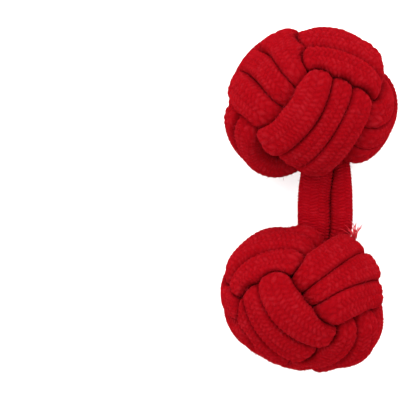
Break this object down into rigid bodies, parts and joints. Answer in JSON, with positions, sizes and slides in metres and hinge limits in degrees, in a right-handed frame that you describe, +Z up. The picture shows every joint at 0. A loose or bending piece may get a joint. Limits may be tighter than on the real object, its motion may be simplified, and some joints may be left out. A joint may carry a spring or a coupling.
{
  "type": "knot cufflink",
  "caption": "Soft cufflink of braided cord: a round Turk's head knot at each end of a short doubled cord shank, lying on its side.",
  "frame": {"origin": "middle of the footprint, on the surface that the knots lie on", "axes": "+X across the shank, +Y along the shank towards the larger knot, +Z up from the surface"},
  "size_m": [0.0148, 0.0288, 0.0146],
  "materials": {
    "knot_cord": "soft sheen",
    "shank_cord": "soft sheen"
  },
  "bodies": {
    "root": {"upper_knot": "knot_cord", "lower_knot": "knot_cord", "shank_cord_left": "shank_cord", "shank_cord_right": "shank_cord"}
  },
  "joints": []
}
